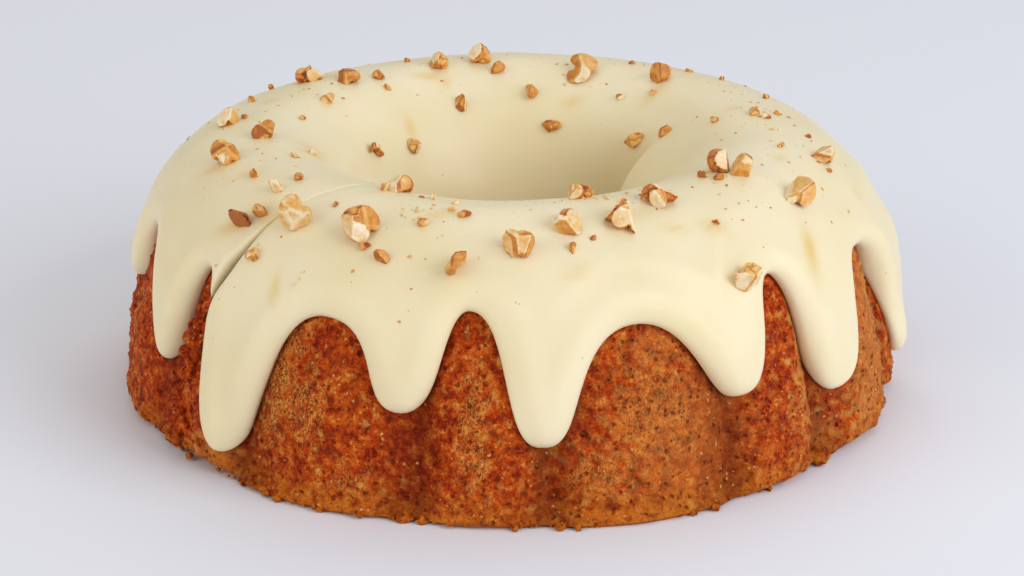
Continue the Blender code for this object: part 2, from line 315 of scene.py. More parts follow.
def new_piece(name, places, faces):
    """A piece from places in millimetres and faces."""
    mesh = bpy.data.meshes.new(name)
    mesh.from_pydata([tuple(place) for place in np.asarray(places) * MM], [], faces)
    mesh.shade_smooth()
    piece = bpy.data.objects.new(name, mesh)
    bpy.context.scene.collection.objects.link(piece)
    return piece


def join_pieces(name, parts):
    """Joins pieces that are modelled apart into one mesh."""
    if len(parts) > 1:
        deselect_all()
        for part in parts:
            part.select_set(True)
        bpy.context.view_layer.objects.active = parts[0]
        bpy.ops.object.join()
    parts[0].name = parts[0].data.name = name
    return parts[0]


def dress(piece, materials=(), replaced=()):
    """Gives a finished piece its materials and its body, and hides the CAD nodes that it stands for."""
    for material in materials:
        piece.data.materials.append(material)
    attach(piece, "root")
    if replaced:
        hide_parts(*replaced)


# ---------------------------------------------------------------- materials

def linear(hex_colour):
    """A colour written as sRGB hex, as the linear values that Blender's shaders take."""
    values = [int(hex_colour[k : k + 2], 16) / 255 for k in (1, 3, 5)]
    return (*[v / 12.92 if v <= 0.04045 else ((v + 0.055) / 1.055) ** 2.4 for v in values], 1.0)


def new_material(name):
    material = bpy.data.materials.new(name)
    material.use_nodes = True
    return material, material.node_tree, material.node_tree.nodes["Principled BSDF"]


def set_inputs(tree, node, inputs):
    """Sets a node's inputs, by place or by name, to other nodes' outputs, hex colours or numbers."""
    for name, value in inputs.items() if isinstance(inputs, dict) else enumerate(inputs):
        if isinstance(value, bpy.types.NodeSocket):
            tree.links.new(value, node.inputs[name])
        else:
            node.inputs[name].default_value = linear(value) if isinstance(value, str) else value


def add_node(tree, kind, inputs=(), stops=(), **settings):
    """Adds a shader node and gives its outputs. stops are a colour ramp's: (position, hex colour)."""
    node = tree.nodes.new("ShaderNode" + kind)
    for name, value in settings.items():
        setattr(node, name, value)
    set_inputs(tree, node, inputs)
    for k, (position, colour) in enumerate(stops):
        elements = node.color_ramp.elements
        if k == 0:
            elements.remove(elements[1])
        stop = elements[0] if k == 0 else elements.new(position)
        stop.position = position
        stop.color = linear(colour)
    return node.outputs


def laid_over(tree, colour, layers):
    """Lays tints over a colour, one by one. A layer: its tint, and shares whose product says how much."""
    for tint, share, *others in layers:
        for other in others:
            share = add_node(tree, "Math", (share, other), operation="MULTIPLY")[0]
        colour = add_node(tree, "Mix", {"Factor": share, "A": colour, "B": tint}, data_type="RGBA")[2]
    return colour


def spots(tree, place, pitch, radius, share, strength):
    """Scattered round spots: about one in each pitch, of a radius, in a share of the places."""
    cells = add_node(tree, "TexVoronoi", {"Vector": place, "Scale": 1000 / pitch})
    edge = radius / pitch
    near = add_node(tree, "MapRange", (cells["Distance"], edge, 0.45 * edge, 0, strength))[0]
    draw = add_node(tree, "SeparateColor", (cells["Color"],))["Red"]
    chosen = add_node(tree, "MapRange", (draw, share, share - 0.04, 0, 1))[0]
    return add_node(tree, "Math", (near, chosen), operation="MULTIPLY")[0]


def crust_material():
    """Baked pumpkin-spice crumb against a greased tin: matt, browned unevenly, full of small open pores."""
    material, tree, shader = new_material("baked_crust")
    place = add_node(tree, "TexCoord")["Object"]
    rubbed_and_lit, scuffed, valleys, open_pores = (
        add_node(tree, "Attribute", attribute_name=name)["Fac"]
        for name in ("rubbed_and_lit", "scuffed", "valley", "pore"))
    patches = add_node(tree, "TexNoise",
                       {"Vector": place, "Scale": 1000 / 13, "Detail": 3, "Roughness": 0.6})["Fac"]
    browned = add_node(tree, "ValToRGB", (patches,),
                       ((0.30, "#8a2403"), (0.44, "#b43a04"), (0.57, "#c64f0a"), (0.72, "#d06c1c")))["Color"]
    # Crumb grain from 4 mm down to 0.3 mm, golden on its tops, and redder and darker in its hollows as painted
    # shade.
    crumb = add_node(tree, "TexNoise",
                     {"Vector": place, "Scale": 1000 / 3.4, "Detail": 5, "Roughness": 0.82})["Fac"]
    crumb_tone = add_node(tree, "ValToRGB", (crumb,),
                          ((0.36, "#4c0b01"), (0.44, "#8a2103"), (0.51, "#bb4205"), (0.58, "#d06211"),
                           (0.66, "#eda650")))["Color"]
    # Short feathery streaks where the crust stuck to the tin.
    along = add_node(tree, "Mapping", {"Vector": place, "Scale": (1, 1, 0.5)})["Vector"]
    streaks = add_node(tree, "TexNoise", {"Vector": along, "Scale": 1000 / 1.3, "Detail": 2, "Roughness": 0.6,
                                          "Distortion": 2.2})["Fac"]
    torn = add_node(tree, "MapRange", (streaks, 0.50, 0.56, 0.06, 1))[0]
    height = add_node(tree, "SeparateXYZ", (place,))["Z"]
    low = add_node(tree, "MapRange", (height, 0.0005, 0.011, 0.85, 0))[0]
    torn_low = add_node(tree, "MapRange", (crumb, 0.40, 0.56, 0.15, 1))[0]
    in_valleys = add_node(tree, "MapRange", (valleys, 0.25, 1, 0, 0.62))[0]
    # Pinholes and open pores, painted dark as shade in the holes over the crumb's own red-brown; flecks of
    # batter that stayed pale.
    shake = add_node(tree, "TexNoise", {"Vector": place, "Scale": 1000 / 1.1, "Detail": 1})["Color"]
    uneven = add_node(tree, "VectorMath", (shake, (1.2 * MM,) * 3, place), operation="MULTIPLY_ADD")[0]
    pinholes = spots(tree, uneven, 1.5, 0.5, 0.72, 0.6)
    pores = spots(tree, uneven, 2.5, 0.75, 0.6, 0.7)
    deep = add_node(tree, "MapRange", (open_pores, 0.15, 0.8, 0, 0.75))[0]
    flecks = spots(tree, uneven, 2.1, 0.52, 0.4, 0.8)
    clustered = add_node(tree, "MapRange", (patches, 0.42, 0.58, 0.15, 1))[0]
    colour = laid_over(tree, browned, (
        (crumb_tone, 0.8),
        # The ridges worn against the tin are more golden and broad patches on the lit right side paler as
        # painted light, the scuffs a paler tan, the foot yellower.
        ("#e5a04a", rubbed_and_lit, 0.62),
        ("#dca24a", scuffed, torn, 0.9),
        ("#cc7a20", low, torn_low),
        # Darker in the pattern's valleys: painted shade in the creases, and partly crust that baked darker where
        # the batter lay deep.
        ("#661a02", in_valleys),
        # Pinholes and pores: painted shade in the holes.
        ("#822204", pinholes),
        ("#661703", pores),
        ("#4d0f02", deep),
        ("#eeb468", flecks, clustered),
    ))
    fine = add_node(tree, "Math", (pores, crumb), operation="SUBTRACT")[0]
    bump = add_node(tree, "Bump", {"Height": fine, "Strength": 0.9, "Distance": 1.2 * MM},
                    invert=True)["Normal"]
    set_inputs(tree, shader,
               {"Base Color": colour, "Normal": bump, "Roughness": 0.6, "Specular IOR Level": 0.12})
    return material


def icing_material():
    """Cream cheese icing poured over the cake: smooth, satin, light passes a few millimetres into it."""
    material, tree, shader = new_material("cream_cheese_icing")
    place = add_node(tree, "TexCoord")["Object"]
    cloudy = add_node(tree, "TexNoise",
                      {"Vector": place, "Scale": 1000 / 45, "Detail": 2, "Roughness": 0.5})["Fac"]
    cream = add_node(tree, "ValToRGB", (cloudy,), ((0.35, "#f0e1b4"), (0.65, "#f6e9c4")))["Color"]
    smeared, painted_hole_shade = (add_node(tree, "Attribute", attribute_name=name)["Fac"] for name in ("smear", "painted_hole_shade"))
    # Thin golden smears where walnut oil and crumbs were dragged, painted shade deep in the hole behind the
    # fold, fine specks.
    colour = laid_over(tree, cream, (
        ("#e6c067", smeared),
        ("#a8914a", painted_hole_shade),
        ("#a07a3e", spots(tree, place, 6.0, 0.34, 0.5, 0.65)),
    ))
    set_inputs(tree, shader, {"Base Color": colour, "Roughness": 0.36, "IOR": 1.45, "Subsurface Weight": 0.25,
                              "Subsurface Radius": (0.004, 0.0028, 0.0014), "Subsurface Scale": 1})
    return material


def walnut_material(name, pitch, roughness, grain_share, tones, stops, bumps, gloss):
    """Walnut kernel: its tone comes from the piece's own attribute and from a fine grain of one pitch."""
    material, tree, shader = new_material(name)
    place = add_node(tree, "TexCoord")["Object"]
    uneven = add_node(tree, "TexNoise",
                      {"Vector": place, "Scale": 1000 / pitch, "Detail": 4, "Roughness": roughness})["Fac"]
    tone = add_node(tree, "Attribute", attribute_name="tone")["Fac"]
    shade = add_node(tree, "Math", (uneven, grain_share, tone), operation="MULTIPLY_ADD")[0]
    spread = add_node(tree, "MapRange", (shade, *tones, 0, 1))[0]
    colour = add_node(tree, "ValToRGB", (spread,), stops)["Color"]
    bump = add_node(tree, "Bump", {"Height": uneven, "Strength": bumps, "Distance": 0.5 * MM})["Normal"]
    set_inputs(tree, shader, {"Base Color": colour, "Normal": bump, **gloss})
    return material


def walnut_skin_material():
    """Toasted walnut skin: a thin satin film over the kernel, golden to red-brown, with painted shade darkening
    its folds.
    """
    stops = ((0, "#f6e2ac"), (0.22, "#f0c06a"), (0.40, "#e39a3e"), (0.58, "#cf7a2a"), (0.78, "#9d4a18"),
             (1, "#5a1c0a"))
    return walnut_material("toasted_walnut_skin", 2.6, 0.62, 1, (0.30, 1.55), stops, 0.5, {"Roughness": 0.38})


def walnut_flesh_material():
    """Broken walnut flesh: pale, oily and finely grained, a little translucent."""
    stops = ((0, "#fdf3dc"), (0.20, "#f8e5c0"), (0.36, "#f0d09a"), (0.52, "#e9b564"), (0.74, "#da9238"),
             (1, "#b0621e"))
    gloss = {"Roughness": 0.5, "Subsurface Weight": 0.15, "Subsurface Radius": (0.0014, 0.0009, 0.0005),
             "Subsurface Scale": 1}
    return walnut_material("broken_walnut_flesh", 1.8, 0.6, 0.7, (0.15, 1.20), stops, 0.6, gloss)


# ---------------------------------------------------------------- crust

CRUST_COLUMNS = 1300
CRUST_FINE_MM = 0.62
CRUST_FINE_UP_TO = 68.0
CRUST_COARSE_MM = 5.0
CRUST_HOLE_MM = 1.6
CRUST_MOST_TRIANGLES = 182000
PORES = 1900
# Patches where the crust stuck to the tin: bearing, height, how wide and how tall, strength.
SCUFFED = (
    (-36, 33, 10, 17, 1), (-29, 30, 6, 12, 0.8), (-33, 48, 5, 7, 0.7), (-5, 31, 5, 22, 0.7),
    (20, 33, 16, 18, 0.45), (12, 14, 10, 8, 0.6), (72, 32, 7, 17, 0.9), (60, 12, 8, 7, 0.6),
    (44, 20, 5, 12, 0.5), (84, 25, 6, 12, 0.8), (-22, 10, 9, 6, 0.5), (120, 36, 12, 16, 0.8),
    (163, 22, 10, 10, 0.7), (205, 35, 14, 15, 0.8), (250, 40, 8, 12, 0.7), (281, 26, 12, 14, 0.8),
)
# Ridges that wore against the tin, and broad patches on the front and right painted paler and more golden as
# painted light, in the same terms.
RUBBED_AND_LIT = (
    (47, 34, 3.2, 30, 1), (50.5, 8, 6, 9, 0.7), (69, 45, 8, 16, 0.75), (74, 24, 9, 24, 0.9),
    (66, 28, 24, 38, 0.66), (24, 20, 28, 32, 0.34), (31, 30, 3, 22, 0.35), (4, 24, 3, 18, 0.3),
    (2, 55, 5, 9, 0.3), (21, 50, 14, 8, 0.35), (90, 24, 16, 38, 1), (137, 34, 3.2, 26, 0.8),
    (182, 34, 3.2, 26, 0.6), (228, 34, 3.2, 26, 0.8), (-45, 8, 9, 6, 0.6),
)


def crust_rows():
    """Places of the crust's rows: close together where the crust shows, wide apart under the icing."""
    fine_end = v_of_t(t_at_height(CRUST_FINE_UP_TO))
    hole_start = v_of_t(t_at_height(HOLE_EDGE + HOLE_EDGE_WAVE + 6, in_hole=True))
    end = FINE_V[-1]
    fine = np.linspace(0, fine_end, int(fine_end / CRUST_FINE_MM))
    coarse = np.linspace(fine_end, hole_start, int((hole_start - fine_end) / CRUST_COARSE_MM))
    hole = np.linspace(hole_start, end, int((end - hole_start) / CRUST_HOLE_MM))
    return np.concatenate([fine, coarse[1:-1], hole]), len(fine)


def ring_of(name, profile, columns):
    """A closed ring turned from a closed profile of (radius, height): a circle's points, and a Screw."""
    deselect_all()
    bpy.ops.mesh.primitive_circle_add(vertices=len(profile), radius=1)
    ring = bpy.context.object
    ring.name = ring.data.name = name
    set_places(ring.data, [(radius, 0, height) for radius, height in profile])
    apply_modifier(ring, "SCREW", steps=columns, render_steps=columns, use_merge_vertices=True,
                   merge_threshold=0.00001)
    return ring


def stamp(field, row, column, radius, amount):
    """Adds a round dot to a grid of the crust, which fades out at its radius."""
    reach = int(radius / CRUST_FINE_MM) + 1
    rows = np.arange(max(0, row - reach), min(field.shape[0], row + reach + 1))
    columns = np.arange(column - reach, column + reach + 1)
    away = np.hypot(rows[:, None] - row, columns[None, :] - column) * CRUST_FINE_MM / radius
    dot = amount * np.clip(1 - away**2, 0, 1) ** 1.5
    here = np.ix_(rows, columns % field.shape[1])
    field[here] = np.where(np.abs(dot) > np.abs(field[here]), dot, field[here])


def patched(patches, bearing, height, wavy, solid=0.45):
    """How strongly patches on the wall show, which fade out beyond the solid share of their size."""
    field = np.zeros(bearing.shape)
    for place, level, wide, tall, strength in patches:
        across = within_half_turn(bearing - place) * mm_per_degree(BAND_RADIUS) / wide
        away = np.hypot(across, (height - level) / tall) * wavy
        field = np.maximum(field, strength * (1 - smooth_step(solid, 1.6 - solid, away)))
    return field


def make_crust(material, edge_tree):
    rows, fine_rows = crust_rows()
    t = t_of_v(rows)
    size = (len(rows), CRUST_COLUMNS)
    bearings = np.arange(CRUST_COLUMNS) * 360 / CRUST_COLUMNS
    grid_b, grid_t = np.meshgrid(bearings, t, indexing="ij")
    places = in_space(grid_b, crust_points(grid_b, grid_t))
    outside = grid_t < CROWN

    chance = np.random.default_rng(7)
    pores = np.zeros(size)
    for _ in range(PORES):
        radius = min(1.5, 0.72 * math.exp(0.3 * chance.standard_normal()))
        stamp(pores, int(chance.integers(fine_rows)), int(chance.integers(CRUST_COLUMNS)),
              radius, min(1.0, 0.35 + radius * 0.5))
    relief = (0.40 * grain(*size, CRUST_FINE_MM, 14, 1) + 0.20 * grain(*size, CRUST_FINE_MM, 5, 2)
              + 0.12 * grain(*size, CRUST_FINE_MM, 2.4, 3) - 0.45 * pores)
    relief[fine_rows:] *= 0.4
    # Under the icing and at its edge the crust is even, so that nothing pokes through.
    heights = places[..., 2].T
    covered = heights > drip_edge(bearings)[None, :]
    seen = np.ones(size)
    behind_first_drip = np.where(grid_b > 180 + DRIPS[0][0][0], grid_b - 360, grid_b)
    unrolled = flat(behind_first_drip.T, rows[:, None] + 0 * grid_b.T)
    close = ~covered & (heights < BAND_TOP) & outside.T
    for turn in (0, 360):
        there = unrolled[close] + np.array([turn * mm_per_degree(BAND_RADIUS), 0])
        seen[close] = np.minimum(seen[close], smooth_step(0.3, 3.0, nearest_in(edge_tree, there)))
    seen[covered & outside.T] = 0
    relief = relief * seen - 0.3 * (seen == 0)

    along = np.gradient(places, axis=1)
    round_ring = (np.roll(places, -1, axis=0) - np.roll(places, 1, axis=0)) / 2
    outward = np.cross(round_ring, along)
    outward /= np.linalg.norm(outward, axis=-1, keepdims=True)
    places += outward * (relief.T * smooth_step(0.0, 3.0, places[..., 2]))[..., None]

    crust = ring_of("crust", on_curve(CAKE_SECTION, t), CRUST_COLUMNS)
    set_places(crust.data, places.reshape(-1, 3))
    height = places[..., 2]
    wavy = 1 + 0.35 * grain(*size, CRUST_FINE_MM, 6, 4).T
    fade = outside * (1 - smooth_step(VALLEY_FULL_BELOW, VALLEY_GONE_ABOVE, height))
    # The pits' mask, which the material paints darker as shade in them.
    set_shade(crust.data, "pore", (pores * (seen > 0.02)).T)
    # The valleys' mask, for painted shade in their creases.
    set_shade(crust.data, "valley", np.clip(valley(grid_b), 0, 1) * fade)
    set_shade(crust.data, "scuffed", patched(SCUFFED, grid_b, height, wavy) * outside)
    # Worn ridges, and painted light on broad patches of the lit right side.
    set_shade(crust.data, "rubbed_and_lit", patched(RUBBED_AND_LIT, grid_b, height, wavy, 0.2) * outside)
    apply_modifier(crust, "DECIMATE", ratio=CRUST_MOST_TRIANGLES / (2 * len(rows) * CRUST_COLUMNS))
    crust.data.shade_smooth()
    dress(crust, [material], ["cake"])
    return crust


# ---------------------------------------------------------------- icing

ICING_PITCH = 2.4
EDGE_PITCH = 0.9
DENSE_PITCH = 0.06
BAND_RADIUS = 121.0
BAND_TOP = 72.0
LIP = 1.5
LIP_UNDER = 0.9
LIP_REACH = 2.5
# Rows of points at these distances from the drips' edge, from the knife cut and from the edge in the hole.
EDGE_ROWS = (0.12, 0.4, 0.9, 1.6, 2.5)
CUT_ROWS = (0.12, 0.35, 0.8, 1.4, 2.2, 3.4, 5.0, 7.0)
CUT_ROWS_ON_WALL = 6
HOLE_ROWS = (4.8, 3.6, 2.5, 1.6, 0.9, 0.4, 0.12, 0.0)
CROWN_ROWS = 44
ICING_COLUMNS = 300
EDGE_BEAD = 5.5
CUT_BEAD = 3.0
FAR_CUT_BEAD = 1.2
HOLE_BEAD = 5.0
# Stands in for the distance to an edge that is out of reach.
NO_EDGE = 99.0
# Smears on the icing: bearing, radius, length and width, the way they run in degrees from the right through
# the back, strength.
SMEARS = (
    (-72.3, 66.5, 9, 5, 150, 0.7), (-50.5, 108.5, 12, 5, 160, 0.75), (-70.5, 98.7, 9, 5, 170, 0.6),
    (-36.7, 117.2, 5, 3, 80, 0.65), (36, 102.5, 8, 4, 0, 0.7), (52.1, 115, 10, 4.5, 95, 0.85),
    (-14, 88, 12, 6, 20, 0.5), (-30, 75, 12, 2.5, 25, 0.5), (-62, 92, 9, 4, 30, 0.45),
    (29, 100, 8, 3.5, 10, 0.5), (10, 110, 8, 3, 15, 0.35), (70, 90, 7, 4, 60, 0.45),
    (134, 67, 9, 5, 60, 0.7), (159, 58, 7, 4, 0, 0.45), (-156, 70, 11, 5, 5, 0.65),
    (-78, 65, 9, 5, 150, 0.6), (-110, 86, 8, 5, 60, 0.5), (-46, 102, 14, 8, 130, 0.45),
    (21, 90, 15, 6, 10, 0.35), (105, 76, 7, 3, 20, 0.5), (140, 90, 10, 5, 30, 0.5),
    (-139, 52, 7, 4, 110, 0.5), (200, 66, 8, 4, 90, 0.5), (-135, 84, 9, 5, 120, 0.5),
    (77, 113, 6, 3, 90, 0.4),
)


def mm_per_degree(radius):
    return radius * math.pi / 180


def degree_at(v):
    """Millimetres in a degree of the ring at places along the section."""
    return mm_per_degree(on_curve(CAKE_SECTION, t_of_v(v))[..., 0])


def even_steps(line, pitch):
    """The same line with points at even steps."""
    length = np.concatenate([[0], np.cumsum(np.hypot(*np.diff(line, axis=0).T))])
    steps = np.linspace(0, length[-1], max(2, int(round(length[-1] / pitch)) + 1))
    return np.stack([np.interp(steps, length, line[:, k]) for k in range(2)], axis=1)


def flat(bearing, v):
    """Unrolls a place on the wall to (x, y)."""
    return np.stack([bearing * mm_per_degree(BAND_RADIUS), v], axis=-1)


def cut_side(v, side):
    """Bearing of one side of the knife cut at places v: side is +1 for the front piece, -1 for the back."""
    point = on_curve(CAKE_SECTION, t_of_v(v))
    width = CUT_WIDTH * (1 - 0.85 * smooth_step(60, 77, point[..., 1]))
    half = width / 2 / (degree_at(v) * CUT_SQUARE_SHARE)
    return cut_bearing(point) + side * half + (360 if side < 0 else 0)


def wall_outline():
    """The icing's outline on the wall, unrolled: the drips, the cut's front and back sides, and its top."""
    bearings = np.arange(-70, 320, 0.02)
    v = v_of_t(t_at_height(drip_edge(bearings)))
    start = np.argmax((bearings > cut_side(v, 1)) & (bearings > -60))
    end = len(bearings) - np.argmax((bearings < cut_side(v, -1))[::-1])
    drips = even_steps(flat(bearings[start:end], v[start:end]), EDGE_PITCH)
    top = v_of_t(t_at_height(BAND_TOP))
    sides = []
    for side, foot in ((1, drips[0, 1]), (-1, drips[-1, 1])):
        up = np.linspace(foot, top, max(3, int((top - foot) / EDGE_PITCH)))
        sides.append(flat(cut_side(up, side), up))
    return drips, *sides, top


def columns_at(v):
    """Bearings of the structured columns at places v: crowded beside the cut, evenly spaced elsewhere."""
    degree = (1 / (degree_at(v) * CUT_SQUARE_SHARE))[..., None]
    near = np.array((0.0,) + CUT_ROWS)
    first = cut_side(v, 1)[..., None] + near * degree
    last = cut_side(v, -1)[..., None] - near[::-1] * degree
    share = np.linspace(0, 1, ICING_COLUMNS - 2 * len(near) + 2)[1:-1]
    middle = first[..., -1:] + (last[..., :1] - first[..., -1:]) * share
    return np.concatenate([first, middle, last], axis=-1)


def inward(line):
    """Unit directions square to a line, to its left as it runs."""
    along = np.gradient(line, axis=0)
    along /= np.linalg.norm(along, axis=1, keepdims=True)
    return np.stack([-along[:, 1], along[:, 0]], axis=1)


def tree_of(*lines):
    """A tree that finds the nearest place on lines."""
    places = np.vstack([even_steps(line, DENSE_PITCH) for line in lines])
    tree = KDTree(len(places))
    for k, (x, y) in enumerate(places):
        tree.insert((x, y, 0), k)
    tree.balance()
    return tree


def nearest_in(tree, places):
    """Distances from places to a tree."""
    return np.array([tree.find((x, y, 0))[2] for x, y in places])


def hexes_within(outline, drips, front, back, top):
    """Places of an even grid inside the wall's outline."""
    across = np.arange(outline[:, 0].min(), outline[:, 0].max(), ICING_PITCH)
    up = np.arange(outline[:, 1].min(), top, ICING_PITCH * math.sqrt(0.75))
    hexes = np.array([(x + (k % 2) * ICING_PITCH / 2, y) for k, y in enumerate(up) for x in across])
    above = hexes[:, 1] > np.interp(hexes[:, 0], drips[:, 0], drips[:, 1])
    right_of_front = hexes[:, 0] > np.interp(hexes[:, 1], front[:, 1], front[:, 0])
    left_of_back = hexes[:, 0] < np.interp(hexes[:, 1], back[:, 1], back[:, 0])
    return hexes[above & right_of_front & left_of_back & (hexes[:, 1] < top - 1.4)]


def wall_sheet():
    """The icing on the wall, laid flat: places, inward directions at its edges, triangles, and its top row."""
    drips, front, back, top = wall_outline()
    joint_b = columns_at(np.array([top]))[0]
    joint = flat(joint_b, np.full(len(joint_b), top))
    outline = np.vstack([front[::-1], drips[1:-1], back, joint[-2:0:-1]])
    edge_tree, side_tree = tree_of(drips), tree_of(front, back)
    foot = len(front) - 1
    last = foot + len(drips) + len(back) - 2
    push = np.zeros_like(outline)
    push[:foot] = (1, 0)
    push[foot : foot + len(drips)] = inward(drips)
    push[foot + len(drips) - 1 : last + 1] = (-1, 0)
    points, pushes = [outline], [push]
    for away in EDGE_ROWS:
        row = even_steps(drips + inward(drips) * away, EDGE_PITCH)
        keep = nearest_in(edge_tree, row) > 0.93 * away
        keep = keep & (nearest_in(side_tree, row) > max(0.5, 0.9 * away))
        points.append(row[keep])
        pushes.append(inward(row)[keep])
    for away in CUT_ROWS[:CUT_ROWS_ON_WALL]:
        for line, sign in ((front, 1.0), (back, -1.0)):
            row = line + np.array([sign * away * BAND_RADIUS / CUT_RING_RADIUS / CUT_SQUARE_SHARE, 0])
            keep = (nearest_in(edge_tree, row) > max(0.5, 0.9 * away)) & (row[:, 1] < top - 0.8)
            points.append(row[keep])
            pushes.append(np.tile([sign, 0.0], (keep.sum(), 1)))
    hexes = hexes_within(outline, drips, front, back, top)
    points.append(hexes[(nearest_in(edge_tree, hexes) > 3.3) & (nearest_in(side_tree, hexes) > 4.2)])
    pushes.append(np.zeros((len(points[-1]), 2)))
    places, pushes = np.vstack(points), np.vstack(pushes)
    loop = list(range(len(outline)))
    made = delaunay_2d_cdt([Vector(place) for place in places], [], [loop], 1, 1e-4)
    sources = [found[0] if found else -1 for found in made[3]]
    pushes = np.array([pushes[k] if k >= 0 else (0, 0) for k in sources])
    at = {source: k for k, source in enumerate(sources)}
    top_row = [at[0]] + [at[last + len(joint) - 1 - k] for k in range(1, len(joint) - 1)] + [at[last]]
    places = np.array([tuple(place) for place in made[0]])
    return places, pushes, [tuple(face) for face in made[2]], top_row, edge_tree, side_tree


def crown_sheet():
    """The icing from the top of the wall over the crown to its edge in the hole: bearings, v, distance to it."""
    top = float(v_of_t(t_at_height(BAND_TOP)))
    bearings = np.tile(columns_at(np.array([top]))[0], (CROWN_ROWS + len(HOLE_ROWS), 1))
    share = np.linspace(0, 1, CROWN_ROWS + 1)[:-1, None]
    for _ in range(3):
        end = v_of_t(t_at_height(hole_edge(bearings), in_hole=True))
        upper = top + (end[:CROWN_ROWS] - HOLE_ROWS[0] - top) * share
        lower = end[CROWN_ROWS:] - np.array(HOLE_ROWS)[:, None]
        v = np.vstack([upper, lower])
        every = columns_at(v.ravel()).reshape(*v.shape, -1)
        bearings = np.take_along_axis(every, np.arange(v.shape[1])[None, :, None], axis=2)[..., 0]
    return bearings, v, end - v


def bead(away, width):
    """Share of the full thickness at a distance from an edge: a quarter of an ellipse."""
    return np.sqrt(np.clip(1 - (1 - np.clip(away / width, 0, 1)) ** 2, 0, 1))


def icing_surface(bearing, v, edge, side, hole):
    """Places of the icing's outer side, from the distances to its three kinds of edge."""
    t = t_of_v(v)
    crust = crust_points(bearing, t)
    full = on_curve(ICING_SECTION, t - FIRST_ICED)
    normal = section_normal(t)
    short = LEAST_ICING - ((full - crust) * normal).sum(axis=1)
    full += normal * (np.log1p(np.exp(short * 2.0)) / 2.0)[:, None]
    rough = in_space(bearing, full)
    full += normal * (0.55 * waves(rough, 34) + 0.18 * waves(rough, 15))[:, None]
    around = within_half_turn(bearing)
    # It swells over the wall at the right, and a little above the drips in front.
    swell = 2.6 * hump(around, 90, 9) * smooth_step(0, 12, full[:, 1])
    swell = swell * (1 - smooth_step(44, 64, full[:, 1]))
    swell = swell + 0.9 * hump(edge, 19, 2.8) * np.exp(-(((around - 26) / 20) ** 4))
    swell = swell * (t < CROWN)
    # A fold of icing slid into the hole and stopped at bearing 114; behind it the icing is thinner.
    fold = 4.6 * smooth_step(50, 106, around) * (1 - smooth_step(109, 118, around))
    fold = fold - 1.2 * smooth_step(112, 122, around) * (1 - smooth_step(135, 170, around))
    swell = swell + smooth_step(CROWN + 0.3, CROWN + 1.6, t) * fold * hump(t, 11.8, 0.85)
    full += normal * swell[:, None]
    thickness = np.linalg.norm(full - crust, axis=1)
    # The crease is deep and rolled on the near piece, shallower on the far one, all but closed at the crown.
    far = bearing > 130
    fade = (1 - 0.9 * smooth_step(62.0, 79.0, full[:, 1])) * np.where(far, 0.6, 1.0)
    cut_share = 1 - (1 - bead(side, np.where(far, FAR_CUT_BEAD, CUT_BEAD))) * fade
    share = bead(edge, EDGE_BEAD) * cut_share * bead(hole, HOLE_BEAD)
    share *= 1 + 0.13 * hump(edge, 7.5, 3.2)
    lip = LIP / thickness
    return in_space(bearing, crust + (full - crust) * (lip + (1 - lip) * share)[:, None])


def smears_at(places):
    """How strongly the icing is smeared at places."""
    field = np.zeros(len(places))
    for bearing, radius, length, width, way, strength in SMEARS:
        x, y, _ = (places - in_space(bearing, (radius, 0))).T
        angle = math.radians(way)
        along = (x * math.cos(angle) + y * math.sin(angle)) / length * 2
        across = (y * math.cos(angle) - x * math.sin(angle)) / width * 2
        field = np.maximum(field, strength * hump(np.hypot(along, across), 0, 1))
    return field


def closed_skin(faces, total):
    """Faces that close an outer and an inner sheet of total points each, and the outer's rim.

    Between the two sheets' rims runs a middle row, a point for each point of the rim.
    """
    ends = {}
    for face in faces:
        for a, b in zip(face, face[1:] + face[:1]):
            if (b, a) in ends:
                del ends[(b, a)]
            else:
                ends[(a, b)] = True
    rim = sorted({k for pair in ends for k in pair})
    middle = {k: 2 * total + n for n, k in enumerate(rim)}
    skin = list(faces) + [tuple(total + k for k in reversed(face)) for face in faces]
    for a, b in ends:
        skin.append((b, a, middle[a], middle[b]))
        skin.append((middle[b], middle[a], total + a, total + b))
    return skin, rim


